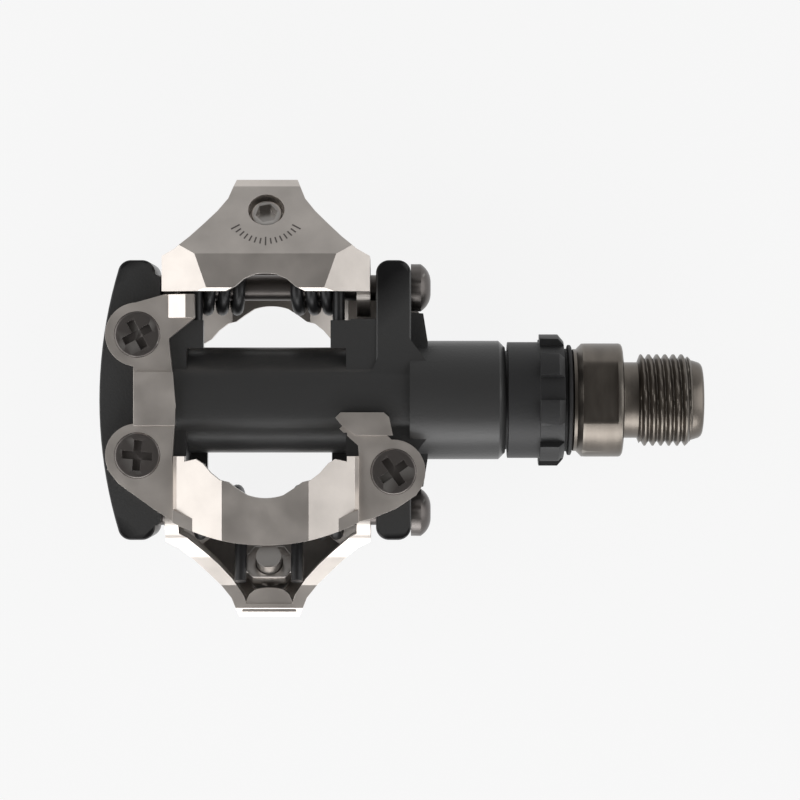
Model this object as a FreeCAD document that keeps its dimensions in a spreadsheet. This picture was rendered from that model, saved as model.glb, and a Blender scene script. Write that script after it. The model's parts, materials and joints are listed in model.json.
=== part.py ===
import FreeCAD, Part
import Sketcher
import math
import os

# Two-sided clipless pedal.  Millimetres.
# Origin: centre of the spindle's crank shoulder.  +X (inboard) runs along the
# spindle towards the crank, -X is outboard.  +Z points out of the first ("top")
# clip face, +Y towards that face's sprung claw.  The second ("bottom") face is
# the first one turned 180 degrees about X.

Vector = FreeCAD.Vector
Placement = FreeCAD.Placement
Rotation = FreeCAD.Rotation

os.makedirs("parts", exist_ok=True)
doc = FreeCAD.newDocument("pedal")

# ---------------------------------------------------------------- driving dimensions
# _r radius, _t thickness, _x/_y/_z position; 0 is the lower end, 1 the upper.
SIZES = {
    # clip centre line and pivot pins
    "clip_x": -55.0, "pin_y": 17.5, "pin_r": 2.0, "pin_tip_x": -77.0,
    # pedal body
    "barrel_r": 8.2, "collar_r": 9.24, "collar_x0": -30.0, "collar_x1": -18.2,
    "frame_z": 7.0, "frame_y": 21.55,
    "out_frame_in": -72.2, "out_frame_end": -77.4, "out_frame_mid": -80.8,
    "in_frame_out": -38.2, "in_frame_in": -32.8, "boss_x0": -39.2, "boss_x1": -29.7,
    "wall_out_x": -67.4, "wall_in_x": -42.8, "wall_y": 12.5,
    # bearing tube, lock sleeve and bush
    "tube_bore_r": 6.8, "tube_race_r": 6.12, "tube_in_r": 5.3,
    "sleeve_thread_r": 7.7, "sleeve_bore_r": 6.6, "sleeve_r": 9.04, "flange_r": 10.24,
    "sleeve_x0": -17.8, "flange_x0": -12.9, "flange_x1": -9.1, "bush_clear": 0.04,
    # spindle and balls
    "journal_r": 5.5, "shaft_r": 3.6, "stub_r": 2.98,
    "ball_r": 1.19, "ball_ring_r": 4.9, "ball_in_x": -33.0, "ball_out_x": -64.0,
    "shoulder_r": 8.83, "neck_r": 5.9, "neck_len": 2.4,
    "thread_r": 7.144, "thread_root_r": 6.46, "thread_pitch": 1.27, "tip_x": 12.55,
    "wrench_af": 15.0, "wrench_turn": 9.0,
    # front claw plate, seated on the frame, and its screws
    "plate_t": 2.0, "arch_z": 13.4, "arch_t": 2.0, "screw_head_r": 3.55, "screw_r": 2.0,
    "screw1_x": -74.8, "screw1_y": 10.05, "screw2_x": -74.8, "screw2_y": -8.5,
    "screw3_x": -35.5, "screw3_y": -11.0,
    # sprung rear claw
    "claw_half": 15.9, "claw_t": 2.1, "claw_top_z": 13.4, "claw_hook_y": 16.6,
    "claw_tip_y": 34.0,
    # tension adjuster and springs
    "adj_y": 29.0, "adj_z": 8.53, "adj_tilt": 30.0, "adj_hole_r": 2.8,
    "adj_head_r": 2.35, "adj_r": 2.0, "adj_nut_half": 5.4, "coil_r": 3.4, "wire_r": 0.95,
}
sheet = doc.addObject("Spreadsheet::Sheet", "Sizes")
for row, (alias, number) in enumerate(SIZES.items(), 1):
    sheet.set("A%d" % row, alias)
    sheet.set("B%d" % row, "%g" % number)
    sheet.setAlias("B%d" % row, alias)
doc.recompute()


class Dimension:
    """A number together with the sheet expression that gives it."""

    def __init__(self, value, text):
        self.value = value
        self.text = text

    @staticmethod
    def of(other):
        if isinstance(other, Dimension):
            return other
        return Dimension(float(other), "%.6g" % other)

    def _join(self, other, operation, sign):
        other = Dimension.of(other)
        return Dimension(operation(self.value, other.value),
                         "(%s %s %s)" % (self.text, sign, other.text))

    def __add__(self, other):
        return self._join(other, lambda a, b: a + b, "+")

    def __radd__(self, other):
        return Dimension.of(other) + self

    def __sub__(self, other):
        return self._join(other, lambda a, b: a - b, "-")

    def __rsub__(self, other):
        return Dimension.of(other) - self

    def __mul__(self, other):
        return self._join(other, lambda a, b: a * b, "*")

    def __rmul__(self, other):
        return Dimension.of(other) * self

    def __truediv__(self, other):
        return self._join(other, lambda a, b: a / b, "/")

    def __neg__(self):
        return 0 - self

    def bind(self, obj, path):
        """Drive a property from the sheet, if this number depends on it."""
        if "Sizes." in self.text:
            obj.setExpression(path, self.text)


def size(name):
    return Dimension(SIZES[name], "Sizes." + name)


CLIP_X = size("clip_x")
PIN_Y, PIN_R, PIN_TIP_X = size("pin_y"), size("pin_r"), size("pin_tip_x")
FRAME_Y, FRAME_Z = size("frame_y"), size("frame_z")
IN_FRAME_IN = size("in_frame_in")
BARREL_R = size("barrel_r")
PLATE_T = size("plate_t")
PLATE_Z0 = FRAME_Z
PLATE_Z1 = PLATE_Z0 + PLATE_T
HEAD_SEAT_Z = PLATE_Z0 + 0.5
SCREW_R, SCREW_HEAD_R = size("screw_r"), size("screw_head_r")
SCREWS = [(size("screw%d_x" % i), size("screw%d_y" % i)) for i in (1, 2, 3)]
ADJUSTER_R = size("adj_r")
FACES = (("top", False), ("bottom", True))
TURNED_OVER = Placement(Vector(0, 0, 0), Rotation(Vector(1, 0, 0), 180))


# ---------------------------------------------------------------- sketches
def bind_point(sketch, geometry, position, x, y):
    for kind, coordinate, axis in (("DistanceX", x, -2), ("DistanceY", y, -1)):
        if abs(coordinate.value) < 1e-9 and not coordinate.text.startswith("("):
            sketch.addConstraint(
                Sketcher.Constraint("PointOnObject", geometry, position, axis))
            continue
        index = sketch.addConstraint(
            Sketcher.Constraint(kind, -1, 1, geometry, position, coordinate.value))
        coordinate.bind(sketch, "Constraints[%d]" % index)


def draw_outline(sketch, points):
    """Closed outline.  A point (x, y, mx, my) starts an arc through (mx, my)."""
    count = len(points)
    corners = [(Dimension.of(p[0]), Dimension.of(p[1])) for p in points]
    vectors = [Vector(x.value, y.value, 0) for x, y in corners]
    first = sketch.GeometryCount
    ends = []  # (start, end) point numbers of each segment
    for i, point in enumerate(points):
        start = vectors[i]
        end = vectors[(i + 1) % count]
        ends.append((1, 2))
        if len(point) == 2:
            sketch.addGeometry(Part.LineSegment(start, end), False)
            continue
        via = Vector(Dimension.of(point[2]).value, Dimension.of(point[3]).value, 0)
        if (via - start).cross(end - via).z > 0:
            sketch.addGeometry(Part.Arc(start, via, end), False)
        else:
            sketch.addGeometry(Part.Arc(end, via, start), False)
            ends[-1] = (2, 1)
    for i in range(count):
        following = (i + 1) % count
        sketch.addConstraint(Sketcher.Constraint(
            "Coincident", first + i, ends[i][1], first + following, ends[following][0]))
    for i in range(count):
        bind_point(sketch, first + i, ends[i][0], *corners[i])
        if len(points[i]) == 4:
            radius = sketch.Geometry[first + i].Radius
            chord = (vectors[(i + 1) % count] - vectors[i]).Length
            # a half circle is already fixed by its ends
            if 2 * radius - chord > 1e-3:
                sketch.addConstraint(Sketcher.Constraint("Radius", first + i, radius))


def draw_circle(sketch, x, y, radius):
    x, y, radius = Dimension.of(x), Dimension.of(y), Dimension.of(radius)
    circle = Part.Circle(Vector(x.value, y.value, 0), Vector(0, 0, 1), radius.value)
    geometry = sketch.addGeometry(circle, False)
    bind_point(sketch, geometry, 3, x, y)
    index = sketch.addConstraint(Sketcher.Constraint("Radius", geometry, radius.value))
    radius.bind(sketch, "Constraints[%d]" % index)


def draw(body, name, plane, offset, shapes):
    """Sketch on an origin plane, moved offset along its normal (+Z, -Y or +X).

    A shape is a circle, a tuple (x, y, radius), or an outline, a list of points.
    """
    sketch = body.newObject("Sketcher::SketchObject", name + "_sk")
    support = [o for o in body.Origin.OriginFeatures if o.Role == plane][0]
    sketch.AttachmentSupport = [(support, "")]
    sketch.MapMode = "FlatFace"
    offset = Dimension.of(offset)
    if offset.text != "0":
        sketch.AttachmentOffset = Placement(Vector(0, 0, offset.value), Rotation())
        sketch.setExpression("AttachmentOffset.Base.z", offset.text)
    for shape in shapes:
        if isinstance(shape, tuple):
            draw_circle(sketch, *shape)
        else:
            draw_outline(sketch, shape)
    return sketch


def about_clip(points):
    """Points whose X is given from the clip's centre line."""
    return [tuple(CLIP_X + c if i % 2 == 0 else c for i, c in enumerate(point))
            for point in points]


def hexagon(across_flats, turn=0):
    radius = across_flats / 2 / math.cos(math.radians(30))
    angles = [math.radians(60 * k + turn) for k in range(6)]
    return [(radius * math.cos(a), radius * math.sin(a)) for a in angles]


# ---------------------------------------------------------------- features
def new_body(name):
    return doc.addObject("PartDesign::Body", name)


def add_feature(body, kind, name, sketch):
    feature = body.newObject("PartDesign::" + kind, name)
    feature.Profile = sketch
    sketch.Visibility = False
    body.Tip = feature
    return feature


def extrude(body, kind, name, plane, offset, length, shapes, midplane, reverse):
    feature = add_feature(body, kind, name, draw(body, name, plane, offset, shapes))
    if length is None:
        feature.Type = 1  # through all
        feature.Midplane = True
        return
    length = Dimension.of(length)
    feature.Length = length.value
    length.bind(feature, "Length")
    feature.Midplane = midplane
    feature.Reversed = reverse


def revolve(body, kind, name, outline):
    """Turn an (x, radius) outline about X."""
    sketch = draw(body, name, "XY_Plane", 0, [outline])
    feature = add_feature(body, kind, name, sketch)
    feature.ReferenceAxis = (sketch, ["H_Axis"])
    feature.Angle = 360


def remove(body, name, add_cut):
    """Run add_cut and insist that it takes material away."""
    doc.recompute()
    before = body.Shape.Volume
    add_cut()
    doc.recompute()
    if body.Shape.Volume > before - 1e-4:
        raise ValueError("cut removed nothing: " + name)


def pad(body, name, plane, offset, length, shapes, midplane=False):
    extrude(body, "Pad", name, plane, offset, length, shapes, midplane, False)


def cut(body, name, plane, offset, length, shapes, forward=False):
    """Pocket against the plane's normal, or along it if forward; length None is through."""
    remove(body, name, lambda: extrude(
        body, "Pocket", name, plane, offset, length, shapes, False, forward))


def turn(body, name, outline):
    revolve(body, "Revolution", name, outline)


def turn_away(body, name, outline):
    remove(body, name, lambda: revolve(body, "Groove", name, outline))


def middle(edge):
    return edge.valueAt((edge.FirstParameter + edge.LastParameter) / 2)


def is_rim(edge, radius, above_z):
    return (edge.Curve.TypeId == "Part::GeomCircle" and
            abs(edge.Curve.Radius - radius) < 0.01 and middle(edge).z > above_z)


def round_edges(body, name, pick, radius):
    """Fillet the edges chosen by pick(edge)."""
    doc.recompute()
    base = body.Tip
    names = ["Edge%d" % i for i, edge in enumerate(base.Shape.Edges, 1) if pick(edge)]
    if not names:
        raise ValueError("no edges for " + name)
    fillet = body.newObject("PartDesign::Fillet", name)
    fillet.Base = (base, names)
    # A fillet that fails or spoils the solid is tried smaller, then left out.
    for share in (1, 0.7, 0.4):
        fillet.Radius = radius * share
        body.Tip = fillet
        doc.recompute()
        failed = ("Invalid" in fillet.State or "Error" in fillet.State
                  or fillet.Shape.isNull())
        if not failed and fillet.Shape.isValid():
            volume = base.Shape.Volume
            if abs(fillet.Shape.Volume - volume) < 0.1 * volume:
                return
    body.Tip = base
    doc.removeObject(fillet.Name)
    doc.recompute()
    FreeCAD.Console.PrintWarning("left sharp: %s\n" % name)


def boolean(kind, name, base, tool):
    result = doc.addObject("Part::" + kind, name)
    result.Base = base
    result.Tool = tool
    base.Visibility = False
    tool.Visibility = False
    return result


def compound(name, links):
    result = doc.addObject("Part::Compound", name)
    result.Links = links
    return result


NODES = {}


def node(name, obj, over=False):
    """Register a finished piece under its file name."""
    obj.Label = name
    if over:
        obj.Placement = TURNED_OVER
    NODES[name] = obj


def turned_piece(name, feature_name, outline):
    body = new_body(name + "_b")
    turn(body, feature_name, outline)
    node(name, body)


# ---------------------------------------------------------------- pedal body
def wall_outline(frame_x, wall_x, inward):
    """Wall from frame_x to wall_x; inward is the X sign from frame to clip."""
    wall_y = size("wall_y")
    corner = 0.8
    return [(frame_x, -wall_y), (frame_x, wall_y),
            (wall_x - inward * corner, wall_y), (wall_x, wall_y - corner),
            (wall_x, -wall_y + corner), (wall_x - inward * corner, -wall_y)]


def body_solid(body):
    end_x = size("out_frame_end")
    collar_r, collar_x0, collar_x1 = size("collar_r"), size("collar_x0"), size("collar_x1")
    turn(body, "barrel", [
        (end_x - 0.4, 0), (end_x - 0.4, 5.0), (-76.4, 6.9), (-72.3, 6.9), (-71.3, BARREL_R),
        (collar_x0 - 3.0, BARREL_R), (collar_x0 - 3.0, collar_r),
        (collar_x1 - 1.0, collar_r), (collar_x1, collar_r - 1.0), (collar_x1, 0)])

    height = FRAME_Z * 2
    out_x = size("out_frame_in")
    pad(body, "outboard_frame", "XY_Plane", 0, height, [[
        (out_x, -FRAME_Y), (out_x, -FRAME_Y + 2.2), (out_x + 0.8, -FRAME_Y + 2.6),
        (out_x + 0.8, FRAME_Y - 2.6), (out_x, FRAME_Y - 2.2), (out_x, FRAME_Y),
        (end_x, FRAME_Y, size("out_frame_mid"), 0), (end_x, -FRAME_Y)]], midplane=True)
    in_x = size("in_frame_out")
    boss_x0, boss_x1 = size("boss_x0"), size("boss_x1")
    pad(body, "inboard_frame", "XY_Plane", 0, height, [[
        (in_x, -FRAME_Y), (in_x, -6.0), (boss_x0, -3.6), (boss_x0, 3.6),
        (in_x, 6.0), (in_x, FRAME_Y), (IN_FRAME_IN, FRAME_Y), (IN_FRAME_IN, 9.2),
        (boss_x1, 5.0), (boss_x1, -5.0), (IN_FRAME_IN, -9.2), (IN_FRAME_IN, -FRAME_Y)]],
        midplane=True)
    pad(body, "outboard_walls", "XY_Plane", 0, height - 0.6,
        [wall_outline(out_x - 1.0, size("wall_out_x"), 1)], midplane=True)
    pad(body, "inboard_walls", "XY_Plane", 0, height - 0.6,
        [wall_outline(in_x + 1.0, size("wall_in_x"), -1)], midplane=True)

    for side, tag in ((1, "a"), (-1, "b")):
        pad(body, "gusset_" + tag, "XY_Plane", 0, 8.0, [[
            (IN_FRAME_IN - 1.0, side * 7.0), (IN_FRAME_IN - 1.0, side * 13.7),
            (-30.9, side * 13.4), (-30.2, side * 9.0), (-30.2, side * 7.0)]], midplane=True)
    # ledges that the outer spring legs press against
    ledge_z, ledge_t = 4.4, 2.3
    for side, tag in ((1, "a"), (-1, "b")):
        bottom = ledge_z if side > 0 else -ledge_z - ledge_t
        pad(body, "ledge_" + tag, "XY_Plane", bottom, ledge_t, [
            [(x0, side * 8.0), (x0, side * 12.3), (x1, side * 12.3), (x1, side * 8.0)]
            for x0, x1 in ((-68.0, -64.8), (-42.0, -45.2))])


def body_holes(body):
    # blind cavity for the nuts, seat for the bearing tube, thread for the sleeve
    cavity_r, cavity_x0, cavity_x1 = 6.2, -74.6, -67.3
    tube_end_x = -30.2
    mouth_x = size("collar_x1") + 1.0
    turn_away(body, "bore", [
        (cavity_x0, 0), (cavity_x0, cavity_r), (cavity_x1, cavity_r),
        (cavity_x1, size("tube_bore_r")), (tube_end_x, size("tube_bore_r")),
        (tube_end_x, size("sleeve_thread_r")), (mouth_x, size("sleeve_thread_r")),
        (mouth_x, 0)])
    cut(body, "pin_holes", "YZ_Plane", PIN_TIP_X, 50.0,
        [(PIN_Y, 0, PIN_R), (-PIN_Y, 0, PIN_R)], forward=True)
    hole_depth = 5.4
    beyond = 20.0
    cut(body, "screw_holes_up", "XY_Plane", FRAME_Z - hole_depth, beyond,
        [(x, y, SCREW_R) for x, y in SCREWS], forward=True)
    cut(body, "screw_holes_down", "XY_Plane", -FRAME_Z + hole_depth, beyond,
        [(x, -y, SCREW_R) for x, y in SCREWS])


def is_frame_corner(edge):
    if edge.Curve.TypeId != "Part::GeomLine":
        return False
    run = edge.Vertexes[-1].Point - edge.Vertexes[0].Point
    return (abs(run.z) > 0.999 * run.Length and
            abs(abs(middle(edge).y) - SIZES["frame_y"]) < 0.05)


def is_frame_rim(edge):
    """Edges of the upper and lower frame faces near the frame's Y ends."""
    point = middle(edge)
    return abs(abs(point.z) - SIZES["frame_z"]) < 0.01 and abs(point.y) > 19.5


def pedal_body():
    body = new_body("pedal_body_b")
    body_solid(body)
    body_holes(body)
    round_edges(body, "frame_corners", is_frame_corner, 2.0)
    round_edges(body, "frame_rims", is_frame_rim, 0.8)
    node("pedal_body", body)


pedal_body()

# ---------------------------------------------------------------- front claw plates
LOBE_R = 4.9
PLATE_HALF = 14.2    # half width of the clip opening's band
PLATE_EDGE_Y = -18.7  # -Y edge where it meets the arms
PLATE_BOW_Y = -22.1  # -Y edge at the centre of its bow
PLATE_EDGE = [(-PLATE_HALF, PLATE_EDGE_Y, 0, PLATE_BOW_Y), (PLATE_HALF, PLATE_EDGE_Y)]

# plan outlines (x, y)
OUTBOARD_ARM = [
    (-75.4, 9.0), (-75.4, -4.5), (-79.0, -8.5), (-79.4, -10.6), (-77.7, -12.8), (-72.3, -16.7),
    (CLIP_X - PLATE_HALF, PLATE_EDGE_Y), (CLIP_X - PLATE_HALF, -13.8),
    (-69.4, -8.9), (-68.9, -0.8), (-70.0, 9.4),
    (-66.0, 12.6), (-66.0, 16.2), (-70.6, 16.2), (-75.2, 14.9)]
OUTBOARD_RISE = [(-75.3, 4.3), (-75.3, -3.9), (-68.95, -3.9), (-68.95, 0.0), (-69.3, 4.3)]
OUTBOARD_UNDER = [(-75.6, 3.2), (-75.6, -2.8), (-68.0, -2.8), (-68.0, 3.2)]
INBOARD_ARM = [
    (-38.0, -3.2), (-37.3, -4.6), (-35.3, -6.6), (-31.3, -9.6), (-30.75, -12.0),
    (-32.0, -14.6), (-35.0, -16.6), (-38.8, -18.2),
    (CLIP_X + PLATE_HALF, PLATE_EDGE_Y), (CLIP_X + PLATE_HALF, -8.4), (CLIP_X + 14.1, -7.0),
    (-43.8, -4.4), (-42.5, -3.2)]
INBOARD_TAB = [
    (-43.6, -1.9), (-37.0, -1.9), (-36.2, -2.6), (-35.6, -5.4), (-41.3, -5.4),
    (-43.4, -3.9), (-44.4, -2.7)]
# plan outline (x from the clip centre, y) cut away along the hook edge
HOOK_EDGE = [
    (-12.4, -9.4), (-10.6, -9.0), (-9.5, -9.7), (-8.3, -11.1), (-6.9, -12.2), (-5.6, -12.5),
    (-4.4, -13.4), (-2.7, -14.5, 0, -14.95), (2.7, -14.5), (4.4, -13.4),
    (5.6, -12.5), (6.9, -12.2), (8.3, -11.1), (9.5, -9.7), (10.6, -9.0),
    (12.4, -9.4), (12.4, -5.0), (-12.4, -5.0)]


def claw_plate_arms(body, tag):
    for i, (x, y) in enumerate(SCREWS):
        pad(body, "lobe%d_%s" % (i, tag), "XY_Plane", PLATE_Z0, PLATE_T, [(x, y, LOBE_R)])
    pad(body, "arm_out_" + tag, "XY_Plane", PLATE_Z0, PLATE_T, [OUTBOARD_ARM])
    # the outboard arm steps up over the barrel end
    pad(body, "arm_out_rise_" + tag, "XY_Plane", PLATE_Z1, 0.9, [OUTBOARD_RISE])
    cut(body, "arm_out_under_" + tag, "XY_Plane", PLATE_Z0, 0.9, [OUTBOARD_UNDER], forward=True)
    # stop tab beside the sprung claw, slanting up inboard
    pad(body, "stop_tab_" + tag, "XZ_Plane", -16.2, 3.6, [[
        (-70.0, PLATE_Z1 - 1.0), (-66.9, PLATE_Z1 - 1.0), (-66.0, PLATE_Z1 + 0.4),
        (-66.0, PLATE_Z1 + 1.9), (-67.3, PLATE_Z1 + 1.9), (-70.0, PLATE_Z1)]])
    pad(body, "arm_in_" + tag, "XY_Plane", PLATE_Z0, PLATE_T, [INBOARD_ARM])
    pad(body, "tab_in_" + tag, "XY_Plane", PLATE_Z1 - 0.1, 1.3, [INBOARD_TAB])


def claw_plate_arch(body, tag):
    """Folded band across the clip opening, with a bowed skirt along its -Y edge."""
    top = size("arch_z")
    under = top - size("arch_t")
    inner_half = 12.3
    pad(body, "arch_" + tag, "XZ_Plane", 8.6, 14.0, [about_clip([
        (-PLATE_HALF, PLATE_Z0), (-PLATE_HALF, top - 3.2), (-13.6, top - 2.3), (-6.6, top),
        (6.6, top), (13.6, top - 2.3), (PLATE_HALF, top - 3.2), (PLATE_HALF, PLATE_Z0),
        (inner_half, PLATE_Z0), (inner_half, top - 4.0), (6.2, under),
        (-6.2, under), (-inner_half, top - 4.0), (-inner_half, PLATE_Z0)])])
    pad(body, "skirt_" + tag, "XY_Plane", PLATE_Z1 - 1.2, top - PLATE_Z1 - 0.3, [about_clip(
        PLATE_EDGE + [(PLATE_HALF, -16.7, 0, -20.2), (-PLATE_HALF, -16.7)])])
    cut(body, "hook_edge_" + tag, "XY_Plane", 0, None, [about_clip(HOOK_EDGE)])
    cut(body, "outer_edge_" + tag, "XY_Plane", 0, None, [about_clip(
        PLATE_EDGE + [(14.3, -30), (-14.3, -30)])])


def front_claw_plate(tag, over):
    body = new_body("front_claw_%s_b" % tag)
    claw_plate_arms(body, tag)
    claw_plate_arch(body, tag)
    relief_r = BARREL_R + 0.05
    turn_away(body, "barrel_relief_" + tag,
              [(-82.0, 0), (-82.0, relief_r), (-33.4, relief_r), (-33.4, 0)])
    cut(body, "head_seats_" + tag, "XY_Plane", HEAD_SEAT_Z, 3.0,
        [(x, y, SCREW_HEAD_R) for x, y in SCREWS], forward=True)
    cut(body, "screw_holes_" + tag, "XY_Plane", PLATE_Z0 - 1.0, 3.0,
        [(x, y, SCREW_R) for x, y in SCREWS], forward=True)
    node("front_claw_plate_" + tag, body, over)


for tag, over in FACES:
    front_claw_plate(tag, over)

# ---------------------------------------------------------------- plate screws
CROSS_HALF_WIDTH = 0.62
CROSS_REACH = 2.35
CROSS_TURNS = (28, -4, 35)  # degrees about Z, one per screw


def plate_screw(suffix):
    """Flat-headed screw with a cross recess, standing on the Z axis."""
    body = new_body("plate_screw" + suffix)
    pad(body, "ps_shank" + suffix, "XY_Plane", FRAME_Z - 5.2, 5.8, [(0, 0, SCREW_R)])
    pad(body, "ps_head" + suffix, "XY_Plane", HEAD_SEAT_Z, 1.7, [(0, 0, SCREW_HEAD_R)])
    w, reach = CROSS_HALF_WIDTH, CROSS_REACH
    cut(body, "ps_cross" + suffix, "XY_Plane", PLATE_Z0 + 0.9, 4.0, [[
        (w, w), (w, reach), (-w, reach), (-w, w), (-reach, w), (-reach, -w),
        (-w, -w), (-w, -reach), (w, -reach), (w, -w), (reach, -w), (reach, w)]],
        forward=True)
    round_edges(body, "ps_rim" + suffix, lambda edge: is_rim(
        edge, SIZES["screw_head_r"], PLATE_Z0.value + 1.5), 0.35)
    return body


def plate_screws(tag, over):
    screws = []
    for i, ((x, y), angle) in enumerate(zip(SCREWS, CROSS_TURNS)):
        screw = plate_screw("%d_%s" % (i, tag))
        screw.Placement = Placement(Vector(x.value, y.value, 0),
                                    Rotation(Vector(0, 0, 1), angle))
        x.bind(screw, "Placement.Base.x")
        y.bind(screw, "Placement.Base.y")
        screws.append(screw)
    node("plate_screws_" + tag, compound("plate_screws_%s_c" % tag, screws), over)


for tag, over in FACES:
    plate_screws(tag, over)

# ---------------------------------------------------------------- sprung rear claws
CLAW_HALF, CLAW_T, CLAW_TOP_Z = size("claw_half"), size("claw_t"), size("claw_top_z")
HOOK_Y, TIP_Y = size("claw_hook_y"), size("claw_tip_y")
TILT = math.radians(SIZES["adj_tilt"])
SLOPE = math.tan(TILT)  # fall of the claw's back, square to the adjuster
INNER_HALF = CLAW_HALF - CLAW_T
BACK_Z = CLAW_TOP_Z - 0.6
INNER_BACK_Z = BACK_Z - CLAW_T * 1.07

# side outlines (y, z) of the claw's outside and of the hollow within it
OUTER_SIDE = [
    (PIN_Y - 3.9, -2.4, PIN_Y - 4.5, 0.6), (PIN_Y - 1.2, 4.6), (PIN_Y - 0.6, 10.4),
    (HOOK_Y, 11.1), (HOOK_Y, CLAW_TOP_Z - 0.5), (HOOK_Y + 0.5, CLAW_TOP_Z), (22.3, BACK_Z),
    (32.9, BACK_Z - 10.6 * SLOPE), (TIP_Y, 5.3), (TIP_Y, 3.4), (32.6, 2.3), (29.0, 2.0),
    (24.5, 0.4), (PIN_Y + 3.9, -2.4, PIN_Y, -4.6)]
INNER_SIDE = [
    (10.0, -8.0), (10.0, 11.2), (HOOK_Y, 11.2), (19.0, 11.3), (21.8, INNER_BACK_Z),
    (31.2, INNER_BACK_Z - 9.6 * SLOPE), (31.9, 4.4), (31.9, 1.2), (31.9, -8.0)]
# half plan outlines (x from the clip centre, y), from the tip to the widest point
OUTER_PLAN = [(4.7, 34.0), (5.9, 31.0), (7.5, 29.0), (9.3, 27.2), (11.6, 25.0), (13.9, 23.1),
              (CLAW_HALF, 22.0)]
INNER_PLAN = [(2.9, 34.0), (4.0, 30.6), (5.8, 27.9), (7.9, 25.6), (10.3, 23.4), (12.7, 21.3),
              (INNER_HALF, 20.7)]


def claw_blank(name, side_outline, plan, top_z, flank_x):
    """Side outline padded across, cut to the plan, its flanks sloped beyond flank_x."""
    half, wide_y = plan[-1]
    pad(body := new_body(name), name + "_side", "YZ_Plane", CLIP_X, half * 2,
        [side_outline], midplane=True)
    for side, tag in ((1, "r"), (-1, "l")):
        beyond = side * (half + 1.0)
        outline = [(side * x, y) for x, y in plan]
        outline += [(beyond, wide_y), (beyond, 36.0), (side * plan[0][0], 36.0)]
        cut(body, name + "_plan_" + tag, "XY_Plane", 0, None, [about_clip(outline)])
        cut(body, name + "_flank_" + tag, "XZ_Plane", -8.0, 40.0, [about_clip([
            (side * flank_x, top_z + 0.02), (side * (half + 0.1), top_z - 2.3),
            (side * (half + 3.0), top_z - 2.3), (side * (half + 3.0), top_z + 4),
            (side * flank_x, top_z + 4)])])
    return body


def adjuster_place(distance, over=False):
    """Placement whose +Z runs out along the adjuster axis, moved distance along it."""
    base = Vector(SIZES["clip_x"],
                  SIZES["adj_y"] + distance * math.sin(TILT),
                  SIZES["adj_z"] + distance * math.cos(TILT))
    place = Placement(base, Rotation(Vector(1, 0, 0), -SIZES["adj_tilt"]))
    return TURNED_OVER.multiply(place) if over else place


def claw_lip(tag):
    """Lip folded in under the claw tip."""
    body = new_body("claw_lip_" + tag)
    pad(body, "lip_" + tag, "XY_Plane", 2.4, 1.7, [about_clip([
        (-4.3, 33.2), (-3.1, 30.4), (-2.2, 29.7, 0, 29.4), (2.2, 29.7), (3.1, 30.4),
        (4.3, 33.2)])])
    return body


def claw_hook_cutter(tag):
    """Arched notch in the middle of the hook edge."""
    body = new_body("claw_cutters_" + tag)
    pad(body, "hook_arch_" + tag, "XY_Plane", 9.0, 10.0, [about_clip([
        (-6.0, 16.6), (-4.6, 17.3), (-3.2, 18.5), (-1.7, 19.15, 0, 19.3), (1.7, 19.15),
        (3.2, 18.5), (4.6, 17.3), (6.0, 16.6), (6.0, 15.0), (-6.0, 15.0)])])
    return body


def claw_pin_bore(tag):
    half_length = 20
    bore = doc.addObject("Part::Cylinder", "claw_pin_bore_" + tag)
    bore.setExpression("Radius", "Sizes.pin_r + 0.04")
    bore.Height = 2 * half_length
    start_x = CLIP_X - half_length
    bore.Placement = Placement(Vector(start_x.value, PIN_Y.value, 0),
                               Rotation(Vector(0, 1, 0), 90))
    start_x.bind(bore, "Placement.Base.x")
    PIN_Y.bind(bore, "Placement.Base.y")
    return bore


def claw_adjuster_hole(tag):
    half_length = 3
    hole = doc.addObject("Part::Cylinder", "claw_adj_hole_" + tag)
    hole.setExpression("Radius", "Sizes.adj_hole_r")
    hole.Height = 2 * half_length
    hole.Placement = adjuster_place(-half_length)
    return hole


def rear_claw(tag, over):
    outer = claw_blank("claw_out_" + tag, OUTER_SIDE, OUTER_PLAN, CLAW_TOP_Z, 8.9)
    inner = claw_blank("claw_in_" + tag, INNER_SIDE, INNER_PLAN,
                       CLAW_TOP_Z - CLAW_T * 1.15, 8.3)
    claw = boolean("Cut", "claw_shell_" + tag, outer, inner)
    claw = boolean("Fuse", "claw_folded_" + tag, claw, claw_lip(tag))
    claw = boolean("Cut", "claw_arched_" + tag, claw, claw_hook_cutter(tag))
    claw = boolean("Cut", "claw_bored_" + tag, claw, claw_pin_bore(tag))
    claw = boolean("Cut", "claw_cut_" + tag, claw, claw_adjuster_hole(tag))
    node("rear_claw_" + tag, claw, over)


for tag, over in FACES:
    rear_claw(tag, over)


# ---------------------------------------------------------------- tension adjusters
def tension_screw(tag, over):
    """Hex socket head standing in the claw's hole, thrust collar beneath it."""
    body = new_body("tension_screw_%s_b" % tag)
    pad(body, "adj_head_" + tag, "XY_Plane", -2.6, 2.0, [(0, 0, size("adj_head_r"))])
    pad(body, "adj_collar_" + tag, "XY_Plane", -2.75, 0.8, [(0, 0, 3.2)])
    pad(body, "adj_shank_" + tag, "XY_Plane", -9.3, 7.0, [(0, 0, ADJUSTER_R)])
    cut(body, "adj_socket_" + tag, "XY_Plane", -2.2, 4.0, [hexagon(3.0, turn=12)],
        forward=True)
    round_edges(body, "adj_rim_" + tag,
                lambda edge: is_rim(edge, SIZES["adj_head_r"], -0.7), 0.3)
    body.Placement = adjuster_place(0, over)
    node("tension_screw_" + tag, body)


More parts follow.
